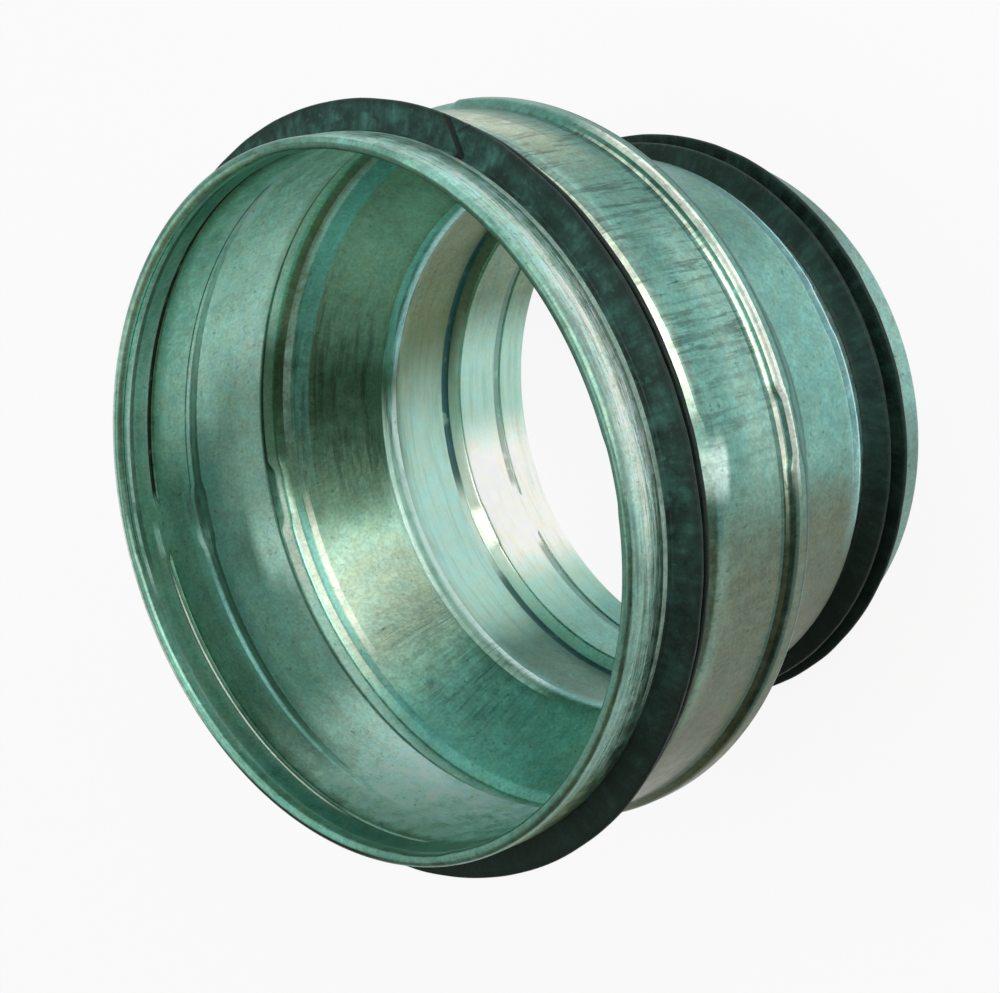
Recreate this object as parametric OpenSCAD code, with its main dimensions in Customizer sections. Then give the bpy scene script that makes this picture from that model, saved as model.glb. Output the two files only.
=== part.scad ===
// Pressed duct reducer with a folded spigot and a rubber lip seal at each end.
// The part stands on its small spigot, with the axis along Z and the large mouth up.
// Every wall is one sheet: a centre line of bends is thickened by half a sheet to each side
// and turned about the axis.

/* [Duct sizes] */
// Inside diameter of the duct that takes the large spigot
large_duct_d = 125; // [112:1:160]
// Inside diameter of the duct that takes the small spigot
small_duct_d = 100; // [80:1:112]

/* [Sheet] */
// Thickness of the galvanised sheet
sheet_t = 0.6; // [0.5:0.05:0.8]

/* [Spigots] */
// Gap all round between the duct and the folded end
duct_clearance = 0.5; // [0.3:0.05:0.8]
// Length of the large spigot, from its end to the shoulder
large_spigot_l = 16.9; // [16.5:0.1:30]
// Length of the small spigot, from its end to the shoulder
small_spigot_l = 18.1; // [16.5:0.1:30]

/* [Folded ends] */
// Length of the strip that is folded back over the seal's foot
hem_l = 8.9; // [8.8:0.05:9.3]
// Length of the fold's edge that is pressed down on the seal
crimp_l = 1.7; // [1.2:0.1:2.2]
// Depth to which the fold's edge is pressed down
crimp_drop = 0.2; // [0.1:0.05:0.25]
// Swelling of the bent nose into the opening
nose_swell = 0.2; // [0.1:0.05:0.4]
// Length of the swollen stretch behind the nose
nose_l = 2.4; // [2:0.1:3.2]
// Distance from the end to the middle of the groove that locks the seal
lock_from_end = 7.6; // [7.4:0.05:7.8]
// Depth of the locking groove
lock_depth = 0.35; // [0.2:0.05:0.4]
// Width of the large end's locking groove
large_lock_w = 1.6; // [1.2:0.1:2.2]
// Width of the small end's locking groove
small_lock_w = 2.2; // [1.2:0.1:2.4]

/* [Body] */
// How far the body's wall stands outside the duct's inner face, which stops the duct
stop_step = 0.4; // [0.3:0.05:1.5]
// Length of the sloping shoulder at the large spigot
large_shoulder_l = 3.7; // [3:0.1:6]
// Length of the steep shoulder at the small spigot
small_shoulder_l = 1.2; // [1:0.1:3]
// Length of the large plain band between shoulder and bead
large_body_l = 16.3; // [10:0.1:40]
// Width of the bead between the large band and the cone
bead_w = 6.3; // [5.8:0.1:8]
// Height of the bead above the large band
bead_rise = 1.5; // [1:0.1:2]
// Length of the cone
cone_l = 16.2; // [12:0.1:60]
// Length of the small plain band between cone and shoulder
small_body_l = 15.8; // [8:0.1:40]

/* [Forming marks] */
// Number of segments of the forming tool, which leave a flat between them
form_segments = 4; // [3:1:6]
// Width of each flat, in degrees
flat_angle = 10; // [6:1:14]
// Turn of the small end's flats against the large end's, in degrees
small_flat_turn = 18.5; // [0:0.5:45]

/* [Lip seals] */
// Thickness of the seal's foot under the fold
foot_t = 0.9; // [0.85:0.05:1.1]
// Gap between the seal and the sheet that it isn't pressed against
seal_gap = 0.05; // [0.02:0.01:0.08]
// Height of the large seal's first lip above the fold
large_lip_rise = 5.1; // [4:0.1:6.5]
// Height of the small seal's first lip above the fold
small_lip_rise = 4.2; // [3:0.1:5]
// Distance from the large end to the middle of its first lip's tip
large_lip_from_end = 11; // [10.6:0.1:11.4]
// Distance from the small end to the middle of its first lip's tip
small_lip_from_end = 10.2; // [10.1:0.1:11.4]
// Thickness of a lip at its tip
lip_t = 0.9; // [0.7:0.05:1.1]
// Distance between the two lips of a seal
lip_pitch = 3.1; // [2.8:0.1:3.3]
// How much lower the second lip stands than the first
second_lip_drop = 1.3; // [0.8:0.1:1.8]
// Length of the seal's base, from the fold's edge to where it runs out
base_l = 6.6; // [6.2:0.1:7.2]

/* [Hidden] */
$fn = 144;
// Places along the axis, up from the small end
small_shoulder_z = small_spigot_l + small_shoulder_l;
cone_low_z = small_shoulder_z + small_body_l;
cone_high_z = cone_low_z + cone_l;
total_h = cone_high_z + bead_w + large_body_l + large_shoulder_l + large_spigot_l;
// Radii of the sheet's centre line
half_t = sheet_t / 2;
large_hem_r = large_duct_d / 2 - duct_clearance - half_t;
small_hem_r = small_duct_d / 2 - duct_clearance - half_t;
hem_to_wall = foot_t + sheet_t;
// How much further in the cone starts than the large band's wall
cone_top_drop = 0.4;
large_body_r = large_duct_d / 2 + stop_step - half_t;
small_body_r = small_duct_d / 2 + stop_step - half_t;
cone_top_r = large_body_r - cone_top_drop;
// Bend radii, on the sheet's centre line
tight_bend = 0.4;
shoulder_bend = 1.6;
cone_bend = 3;
bead_bend = 0.8;
groove_bend = 0;
// Largest turn between two points of a rounded corner, in degrees
arc_step = 20;
// Width of the flat that the bent nose stands on
nose_flat = 0.3;
groove_slope = 0.35;
// How much softer the shapes are on a flat between two segments of the tool.
// The sheet there wasn't stretched, so each of its faces stands a little proud, and laps the
// stretched wall beside it by a small angle.
unstretched = 0.02;
lap = 0.4;
flat_ramp = 0.7;
flat_bead_drop = 0.25;
flat_bead_run = 0.5;
bead_slope_l = 1.6;
// Plain ring in the middle of the cone, between the marks of the two ends, as a share of the cone,
// and how far the walls beside it reach into it
plain_share = 0.12;
reach_share = 0.03;
// The seal's foot and base
foot_from_nose = 1.6;
base_edge = 0.5;
lip_root_t = 1.5;
root_round = 0.4;
lip_lean = 0.6;
// Share of a lip's half thickness that its rounded tip takes
tip_fullness = 0.98;
steel = "#9FB8AE";
rubber = "#26302C";

// Points of an arc of a given radius that rounds the corner at b, between its neighbours a and c
function unit(v) = v / norm(v);
function corner(a, b, c, radius) =
    let (
        to_a = unit(a - b),
        to_c = unit(c - b),
        half = acos(max(-1, min(1, to_a * to_c))) / 2,
        middle = b + unit(to_a + to_c) * radius / sin(half),
        start = b + to_a * radius / tan(half) - middle,
        way = sign(to_a.x * to_c.y - to_a.y * to_c.x),
        sweep = (180 - 2 * half) * -way,
        steps = ceil(abs(sweep) / arc_step)
    )
    [for (i = [0:steps])
        let (turn = sweep * i / steps)
        middle + [start.x * cos(turn) - start.y * sin(turn), start.x * sin(turn) + start.y * cos(turn)]];
function at(p) = [p[0], p[1]];
function rounded(path, i) =
    path[i][2] == 0
        ? [at(path[i])]
        : corner(
            at(path[(i + len(path) - 1) % len(path)]),
            at(path[i]),
            at(path[(i + 1) % len(path)]),
            path[i][2]
        );
function smooth(path) = [for (i = [0:len(path) - 1]) each rounded(path, i)];

// Offset of an open line to its left, kept at the same distance from both neighbouring stretches
function left(v) = [-v.y, v.x];
function offset_at(line, i, distance) =
    let (
        last = len(line) - 1,
        before = unit(line[max(i, 1)] - line[max(i, 1) - 1]),
        after = unit(line[min(i + 1, last)] - line[min(i + 1, last) - 1]),
        normal = unit(left(before) + left(after))
    )
    line[i] + normal * distance / (normal * left(before));
function thick(line, half) = concat(
    [for (i = [0:len(line) - 1]) offset_at(line, i, half)],
    [for (i = [len(line) - 1:-1:0]) offset_at(line, i, -half)]
);

// A spigot's centre line, as radius, distance from its end and bend radius:
// from the fold's raw edge round the nose, past the locking groove and up to the shoulder.
// On a flat of the forming tool there is no groove and no swelling.
function spigot_line(hem_r, lock_w, formed) =
    let (
        wall_r = hem_r - hem_to_wall,
        swell = formed ? nose_swell : 0,
        nose_r = (hem_to_wall + swell - nose_flat) / 2,
        short_by = formed ? 0 : 2 * unstretched,
        nose_s = half_t + short_by,
        fold = [
            [hem_r - crimp_drop, hem_l - short_by, 0],
            [hem_r, hem_l - crimp_l, tight_bend],
            [hem_r, nose_s, nose_r],
            [wall_r - swell, nose_s, nose_r]
        ],
        swelling = [
            [wall_r - swell, nose_l, groove_bend],
            [wall_r, nose_l + groove_slope, groove_bend]
        ],
        groove = [
            [wall_r, lock_from_end - lock_w / 2, groove_bend],
            [wall_r + lock_depth, lock_from_end - lock_w / 2 + groove_slope, groove_bend],
            [wall_r + lock_depth, lock_from_end + lock_w / 2 - groove_slope, groove_bend],
            [wall_r, lock_from_end + lock_w / 2, groove_bend]
        ]
    )
    formed ? concat(fold, swelling, groove) : fold;

// A point of the cone's centre line, at a share of its length up from the small end
function cone_point(share) = [
    small_body_r + (cone_top_r - small_body_r) * share,
    cone_low_z + cone_l * share,
    0
];

// The large half's centre line, from the mouth down to the middle of the cone
function large_line(formed) =
    let (
        ramp = formed ? 0 : flat_ramp,
        wall_r = large_hem_r - hem_to_wall,
        shoulder_end = large_spigot_l + large_shoulder_l,
        bead_start = shoulder_end + large_body_l,
        run = formed ? bead_slope_l : bead_slope_l + flat_bead_run,
        crest_r = large_body_r + bead_rise - (formed ? 0 : flat_bead_drop),
        line = concat(
            spigot_line(large_hem_r, large_lock_w, formed),
            [
                [wall_r, large_spigot_l - ramp, shoulder_bend],
                [large_body_r, shoulder_end + ramp, shoulder_bend],
                [large_body_r, bead_start, bead_bend],
                [crest_r, bead_start + run, bead_bend],
                [crest_r, bead_start + bead_w - bead_slope_l, bead_bend],
                [cone_top_r, bead_start + bead_w, bead_bend]
            ]
        )
    )
    concat(
        [for (p = line) [p[0], total_h - p[1], p[2]]],
        [cone_point((1 + plain_share) / 2 - reach_share)]
    );

// The small half's centre line, from the foot up to the middle of the cone
function small_line(formed) =
    let (
        ramp = formed ? 0 : flat_ramp / 2,
        wall_r = small_hem_r - hem_to_wall
    )
    concat(
        spigot_line(small_hem_r, small_lock_w, formed),
        [
            [wall_r, small_spigot_l - ramp, tight_bend],
            [small_body_r, small_shoulder_z + ramp, tight_bend],
            [small_body_r, cone_low_z, cone_bend],
            cone_point((1 - plain_share) / 2 + reach_share)
        ]
    );

// One stretch of wall, turned about the axis from one angle through another
module wall_sector(line, half, from_angle, sweep_angle) {
    rotate([0, 0, from_angle])
        rotate_extrude(angle = sweep_angle)
            polygon(thick(smooth(line), half));
}

// Segments of the forming tool leave the full shape, and the gaps between them leave a flat
module formed_ring(formed_line, flat_line, turn) {
    pitch = 360 / form_segments;
    for (i = [0:form_segments - 1]) {
        middle = turn + i * pitch;
        wall_sector(formed_line, half_t, middle + flat_angle / 2, pitch - flat_angle);
        wall_sector(flat_line, half_t + unstretched, middle - flat_angle / 2 - lap, flat_angle + 2 * lap);
    }
}

module plain_ring() {
    ends = [cone_point((1 + plain_share) / 2), cone_point((1 - plain_share) / 2)];
    wall_sector(ends, half_t + 2 * unstretched, 0, 360);
}

module reducer_shell() {
    color(steel)
        union() {
            formed_ring(large_line(true), large_line(false), 0);
            plain_ring();
            formed_ring(small_line(true), small_line(false), small_flat_turn);
        }
}

// Section of a lip seal, as radius, distance from the spigot's end and rounding:
// a thin foot in the fold, a base beside it, and two lips that stand out to meet the duct
function seal_section(hem_r, lock_w, lip_rise, lip_from_end) =
    let (
        wall_r = hem_r - foot_t - half_t + unstretched,
        under_r = hem_r - half_t - seal_gap,
        land_r = hem_r + half_t,
        lock_r = wall_r + lock_depth + seal_gap,
        lock_slope = atan(lock_depth / groove_slope),
        lock_reach = lock_w / 2 + half_t * tan(lock_slope / 2) + seal_gap,
        base_start = hem_l + seal_gap,
        base_end = hem_l + base_l,
        tip_r = land_r + lip_rise,
        second_r = tip_r - second_lip_drop,
        half_tip = lip_t / 2,
        half_root = lip_root_t / 2,
        first_s = lip_from_end,
        root_s = lip_from_end - lip_lean / 2,
        second_s = lip_from_end + lip_pitch,
        tip_round = half_tip * tip_fullness
    )
    [
        [wall_r, half_t * 2 + foot_from_nose, 0],
        [under_r, half_t * 2 + foot_from_nose, 0],
        [under_r, hem_l - crimp_l, 0],
        [under_r - crimp_drop, hem_l, 0],
        [under_r - crimp_drop, base_start, 0],
        [land_r - base_edge / 2, base_start, 0],
        [land_r - base_edge / 4, root_s - half_root, 0],
        [tip_r, first_s - half_tip, tip_round],
        [tip_r, first_s + half_tip, tip_round],
        [land_r - base_edge, root_s + half_root, root_round],
        [land_r - base_edge, root_s + lip_pitch - half_root, root_round],
        [second_r, second_s - half_tip, tip_round],
        [second_r, second_s + half_tip, tip_round],
        [land_r - base_edge * 2, base_end - base_edge, 0],
        [wall_r, base_end, 0],
        [wall_r, lock_from_end + lock_reach, 0],
        [lock_r, lock_from_end + lock_reach - groove_slope, 0],
        [lock_r, lock_from_end - lock_reach + groove_slope, 0],
        [wall_r, lock_from_end - lock_reach, 0]
    ];

module lip_seal(section) {
    color(rubber)
        rotate_extrude()
            polygon(smooth(section));
}

module large_lip_seal() {
    translate([0, 0, total_h])
        mirror([0, 0, 1])
            lip_seal(seal_section(large_hem_r, large_lock_w, large_lip_rise, large_lip_from_end));
}

module small_lip_seal() {
    lip_seal(seal_section(small_hem_r, small_lock_w, small_lip_rise, small_lip_from_end));
}

reducer_shell();
large_lip_seal();
small_lip_seal();
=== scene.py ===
"""A pressed duct reducer of galvanised sheet with a rubber lip seal at each end, as a Blender add-on."""

import math
from collections import namedtuple

import bpy
from bpy.props import FloatProperty, FloatVectorProperty, IntProperty, PointerProperty
from mathutils import Matrix, Vector, noise


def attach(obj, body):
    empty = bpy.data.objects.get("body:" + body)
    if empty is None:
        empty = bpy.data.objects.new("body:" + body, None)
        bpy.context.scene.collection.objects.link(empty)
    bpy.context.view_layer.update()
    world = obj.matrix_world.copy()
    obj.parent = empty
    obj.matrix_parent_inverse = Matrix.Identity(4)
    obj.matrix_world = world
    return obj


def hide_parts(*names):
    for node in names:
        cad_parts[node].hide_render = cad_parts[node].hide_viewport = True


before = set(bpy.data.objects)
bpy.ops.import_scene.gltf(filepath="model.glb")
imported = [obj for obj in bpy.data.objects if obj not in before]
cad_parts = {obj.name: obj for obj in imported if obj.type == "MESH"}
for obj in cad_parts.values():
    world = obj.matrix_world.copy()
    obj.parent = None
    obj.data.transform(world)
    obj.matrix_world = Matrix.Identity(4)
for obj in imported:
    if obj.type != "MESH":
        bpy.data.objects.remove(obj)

bl_info = {
    "name": "Duct Reducer",
    "version": (1, 0, 0),
    "blender": (4, 5, 0),
    "location": "View3D > Sidebar > Reducer",
    "description": "Builds a pressed sheet-metal duct reducer with two rubber lip seals",
    "category": "Add Mesh",
}

MM = 0.001

# Where the forms of the sheet lie, as distances along the axis from their own end
SWELL_END = (2.3 * MM, 2.9 * MM)
GROOVE = 7.6 * MM
LARGE_SHOULDER = (16.9 * MM, 20.6 * MM)
BEAD = (36.9 * MM, 38.5 * MM, 41.6 * MM, 43.2 * MM)
SMALL_SHOULDER = (18.1 * MM, 19.3 * MM)
CONE_END = 35.1 * MM

# Longest stretch of a section that is left in one piece
RING_SPACING = 2.8 * MM

# The flats between the segments of the forming tool, in degrees: half their width, and each end's turn
FLAT = 5
LARGE_TURN, SMALL_TURN = 0, 18.5


def length(name, description, millimetres):
    """A size that the user may change, given here in millimetres"""
    metres = millimetres * MM
    return FloatProperty(name=name, description=description, default=metres, unit="LENGTH", precision=5)


def tone(name, description, colour):
    """A colour that the user may change, as linear red, green and blue"""
    return FloatVectorProperty(
        name=name, description=description, default=colour, size=3, min=0, max=1, subtype="COLOR"
    )


class ReducerSheet(bpy.types.PropertyGroup):
    """Sizes of the pressed sheet"""

    sheet: length("Sheet", "Thickness of the galvanised sheet", 0.6)
    overall: length("Overall length", "From one folded end to the other", 94.5)
    large_hem: length("Large fold radius", "Middle of the sheet in the large fold", 61.7)
    small_hem: length("Small fold radius", "Middle of the sheet in the small fold", 49.2)
    hem_to_wall: length("Fold to wall", "From the fold's sheet in to the spigot's wall", 1.5)
    hem: length("Fold length", "Strip folded back over the seal's foot", 8.9)
    large_band: length("Large band radius", "Middle of the sheet in the large plain band", 62.6)
    small_band: length("Small band radius", "Middle of the sheet in the small plain band", 50.1)
    bead_rise: length("Bead height", "How far the bead stands out of the large band", 1.5)
    lock: length("Lock depth", "Depth of the groove that locks the seal", 0.35)
    round_steps: IntProperty(name="Steps round", description="Faces round the axis", default=360, min=120)


class SealSizes(bpy.types.PropertyGroup):
    """Sizes of the two lip seals"""

    large_rise: length("Large lip", "How far the large seal's first lip stands above the fold", 5.1)
    small_rise: length("Small lip", "How far the small seal's first lip stands above the fold", 4.2)
    second_drop: length("Second lip", "How much lower the second lip stands", 1.3)
    wave: length("Lip waves", "How far the soft edge of a lip wanders", 0.12)


class Finishes(bpy.types.PropertyGroup):
    """Colours of the zinc, the rubber and the studio"""

    zinc: tone("Zinc", "Plain galvanised face", (0.42, 0.66, 0.58))
    zinc_warm: tone("Warm zinc", "What the warmer specks of the zinc are tinted with", (1.0, 0.96, 0.90))
    zinc_cool: tone("Cool zinc", "What the cooler specks of the zinc are tinted with", (0.93, 1.0, 1.0))
    rubber: tone("Rubber", "Clean seal rubber", (0.005, 0.012, 0.010))
    rubber_dust: tone("Dusty rubber", "Bloom and dust on the seal", (0.055, 0.155, 0.14))
    floor: tone("Floor", "Floor and backdrop", (0.85, 0.85, 0.85))


class Studio(bpy.types.PropertyGroup):
    """Strength of the light"""

    key: FloatProperty(name="Key lamp", description="Power of the main lamp", default=9.0, unit="POWER")
    fill: FloatProperty(name="Fill lamp", description="Power of the second lamp", default=2.0, unit="POWER")
    sky: FloatProperty(name="Sky", description="Strength of the soft light all round", default=1.0)


# Rounded section lines


def corner_points(before, here, after, cut, steps):
    """Points of an arc that rounds the corner at here, starting cut away from it on both sides"""
    to_before = (Vector(before) - Vector(here)).normalized()
    to_after = (Vector(after) - Vector(here)).normalized()
    start, end = Vector(here) + to_before * cut, Vector(here) + to_after * cut
    weight = math.sqrt(max(0.0, (1 - to_before.dot(to_after)) / 2))
    points = []
    for i in range(steps + 1):
        u = i / steps
        w0, w1, w2 = (1 - u) ** 2, 2 * u * (1 - u) * weight, u * u
        points.append((start * w0 + Vector(here) * w1 + end * w2) / (w0 + w1 + w2))
    return points


def rounded_line(path):
    """Arcs that round the corners of a path of (radius, height, cut, steps)"""
    points = []
    for i, (radius, height, cut, steps) in enumerate(path):
        here = (radius, height)
        if cut == 0 or i in (0, len(path) - 1):
            arc = [Vector(here)]
        else:
            arc = corner_points(path[i - 1][:2], here, path[i + 1][:2], cut, steps)
        points.append(arc)
    return points


def spaced(lines, longest):
    """Stations and points of lines of one shape, with long straight stretches split alike.

    A station counts the corners passed: whole in a corner, and a share more on the way to the next."""
    stations, points = [], []
    for i, arcs in enumerate(zip(*lines)):
        for row in zip(*arcs):
            stations.append(float(i))
            points.append(row)
        if i + 1 < len(lines[0]):
            ends = [(line[i][-1], line[i + 1][0]) for line in lines]
            parts = max(1, math.ceil((ends[0][1] - ends[0][0]).length / longest))
            for k in range(1, parts):
                stations.append(i + k / parts)
                points.append(tuple(a.lerp(b, k / parts) for a, b in ends))
    return stations, points


# Carrying a section round the axis


def rings_from(name, section, steps):
    """A circle extruded ring by ring along the section, as (radius, height) pairs"""
    bpy.ops.object.select_all(action="DESELECT")
    radius, height = section[0]
    bpy.ops.mesh.primitive_circle_add(vertices=steps, radius=radius, location=(0, 0, 0))
    made = bpy.context.object
    made.name = name
    bpy.ops.object.mode_set(mode="EDIT")
    bpy.ops.mesh.select_all(action="SELECT")
    bpy.ops.transform.translate(value=(0, 0, height))
    for (r0, z0), (r1, z1) in zip(section, section[1:]):
        bpy.ops.mesh.extrude_edges_move(TRANSFORM_OT_translate={"value": (0, 0, z1 - z0)})
        if abs(r1 - r0) > 1e-9:
            bpy.ops.transform.resize(value=(r1 / r0, r1 / r0, 1), center_override=(0, 0, 0))
    bpy.ops.object.mode_set(mode="OBJECT")
    return made


def smooth_step(edge0, edge1, x):
    """0 up to the first edge and 1 past the second, with a soft ramp between them"""
    t = min(1.0, max(0.0, (x - edge0) / (edge1 - edge0)))
    return t * t * (3 - 2 * t)


def flat_share(angle, turn, ramp):
    """1 on a flat left between two segments of the forming tool, 0 on the formed stretch"""
    away = abs((angle - turn + 45) % 90 - 45)
    return 1 - smooth_step(FLAT - ramp, FLAT + ramp, away)


def finish_piece(piece, nodes, material, angle):
    """Material, shading and the calls that tie a piece to the frame"""
    piece.data.materials.clear()
    piece.data.materials.append(material)
    bpy.ops.object.select_all(action="DESELECT")
    piece.select_set(True)
    bpy.context.view_layer.objects.active = piece
    bpy.ops.object.shade_smooth_by_angle(angle=angle)
    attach(piece, "root")
    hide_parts(nodes)


def spigot_path(sizes, hem_r, lock_w, flat, from_end):
    """Corners from the fold's raw edge round the nose and past the locking groove"""
    wall = hem_r - sizes.hem_to_wall
    swell = 0.0 if flat else 0.2 * MM
    lock = 0.0 if flat else sizes.lock
    half = sizes.sheet / 2
    nose = 0.72 * MM
    bend = 0.14 * MM
    slope = 0.35 * MM
    near_edge, far_edge = GROOVE - lock_w / 2, GROOVE + lock_w / 2
    path = [
        (hem_r - 0.2 * MM, sizes.hem, 0, 0),
        (hem_r, sizes.hem - 1.7 * MM, 0.2 * MM, 1),
        (hem_r, half, nose, 6),
        (wall - swell, half, nose, 6),
        (wall - swell, SWELL_END[0], 0.2 * MM, 1),
        (wall, SWELL_END[1], 0.2 * MM, 1),
        (wall, near_edge, bend, 2),
        (wall + lock, near_edge + slope, bend, 2),
        (wall + lock, far_edge - slope, bend, 2),
        (wall, far_edge, bend, 2),
    ]
    return [(r, from_end(s), cut, steps) for r, s, cut, steps in path]


def shell_path(sizes, flat_large, flat_small):
    """Corners of the whole sheet's middle line, from the large fold to the small one"""
    top = sizes.overall

    def down(s):
        return top - s

    def up(s):
        return s

    wall_large = sizes.large_hem - sizes.hem_to_wall
    wall_small = sizes.small_hem - sizes.hem_to_wall
    ramp = 0.7 * MM if flat_large else 0.0
    run = 1.2 * MM if flat_large else 0.0
    crest = sizes.large_band + sizes.bead_rise - (0.4 * MM if flat_large else 0)
    large = spigot_path(sizes, sizes.large_hem, 1.6 * MM, flat_large, down)
    large += [
        (wall_large, down(LARGE_SHOULDER[0] - ramp), 0.6 * MM, 4),
        (sizes.large_band, down(LARGE_SHOULDER[1] + ramp), 0.6 * MM, 4),
        (sizes.large_band, down(BEAD[0]), 0.4 * MM, 3),
        (crest, down(BEAD[1] + run), 0.45 * MM, 4),
        (crest, down(BEAD[2]), 0.6 * MM, 4),
        (sizes.large_band - 0.4 * MM, down(BEAD[3]), 0.4 * MM, 3),
    ]
    ramp = 0.35 * MM if flat_small else 0.0
    small = spigot_path(sizes, sizes.small_hem, 2.2 * MM, flat_small, up)
    small += [
        (wall_small, SMALL_SHOULDER[0] - ramp, 0.35 * MM, 4),
        (sizes.small_band, SMALL_SHOULDER[1] + ramp, 0.35 * MM, 4),
        (sizes.small_band, CONE_END, 1.0 * MM, 4),
    ]
    return large + small[::-1]


# Tones, lines and marks of the sheet; most tones and lines are painted light and shade. A place is given by
# its stations, and a bearing in degrees from +X towards +Y. The lining face runs over the folds' outsides and
# down the inside of the duct.

LINING, OUTER = 1, 0

Patch = namedtuple("Patch", "name face start end bearing reach value strength")
Line = namedtuple("Line", "name face station half_width bearing reach soft colour strength chalk")

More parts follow.
